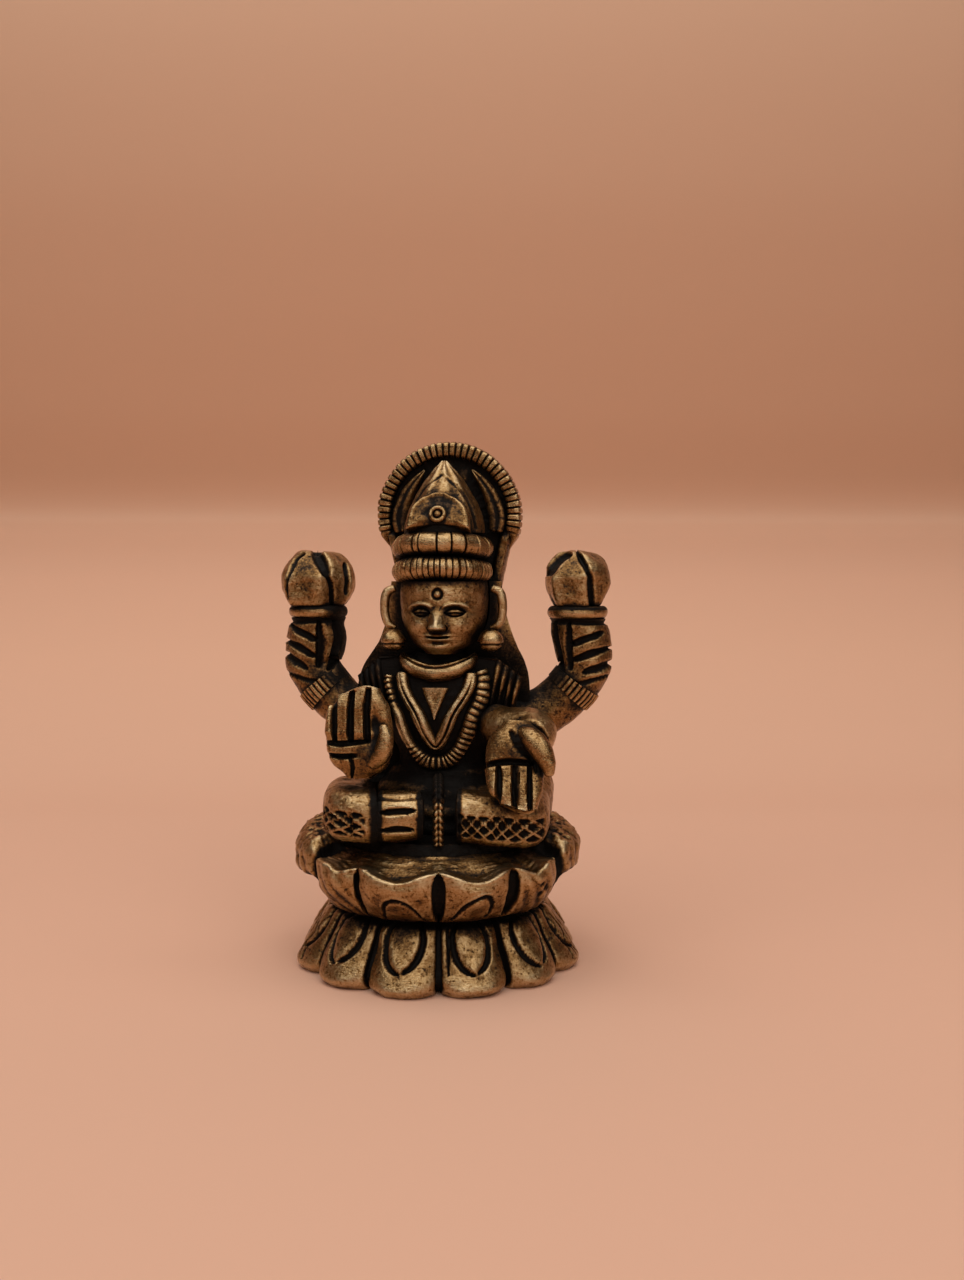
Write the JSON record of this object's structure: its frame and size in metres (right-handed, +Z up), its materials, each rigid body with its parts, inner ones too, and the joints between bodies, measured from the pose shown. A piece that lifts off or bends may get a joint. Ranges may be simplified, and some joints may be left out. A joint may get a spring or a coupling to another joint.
{
  "type": "hindu deity statue",
  "caption": "Small cast brass seated goddess with raised rear arms holding lotus buds, open front hands, crown and notched halo, on a double lotus base.",
  "frame": {"origin": "middle of the flat foot, on the plane that the statue stands on", "axes": "+Z up, the figure faces -Y, +X to the viewer's right (the figure's left)"},
  "size_m": [0.0455, 0.0386, 0.07],
  "materials": {
    "cast_brass": "cast brass, brown patina in the hollows",
    "worn_brass": "rubbed bright on the high spots",
    "patinated_brass": "dark brown patina"
  },
  "bodies": {
    "root": {"lower_lotus": "cast_brass", "upper_lotus": "cast_brass", "seat": "patinated_brass", "right_leg": "cast_brass", "left_leg": "cast_brass", "right_foot": "worn_brass", "sash": "patinated_brass", "torso": "patinated_brass", "collar": "worn_brass", "pendant_necklace": "worn_brass", "pendant": "worn_brass", "garland": "worn_brass", "veil": "patinated_brass", "right_shoulder_drape": "patinated_brass", "left_shoulder_drape": "patinated_brass", "right_front_arm": "cast_brass", "left_front_arm": "cast_brass", "right_front_hand": "worn_brass", "left_front_hand": "worn_brass", "right_rear_arm": "cast_brass", "left_rear_arm": "cast_brass", "right_armlet": "worn_brass", "left_armlet": "worn_brass", "right_bracelet": "worn_brass", "left_bracelet": "worn_brass", "right_lotus_bud": "cast_brass", "left_lotus_bud": "cast_brass", "head": "cast_brass", "right_ear": "cast_brass", "left_ear": "cast_brass", "right_earring": "worn_brass", "left_earring": "worn_brass", "crown_lower_band": "worn_brass", "crown_upper_band": "worn_brass", "crown_cone": "cast_brass", "crown_crest": "worn_brass", "crest_boss": "patinated_brass", "right_crown_leaf": "cast_brass", "left_crown_leaf": "cast_brass", "halo_plate": "patinated_brass", "halo_rim": "worn_brass"}
  },
  "joints": []
}
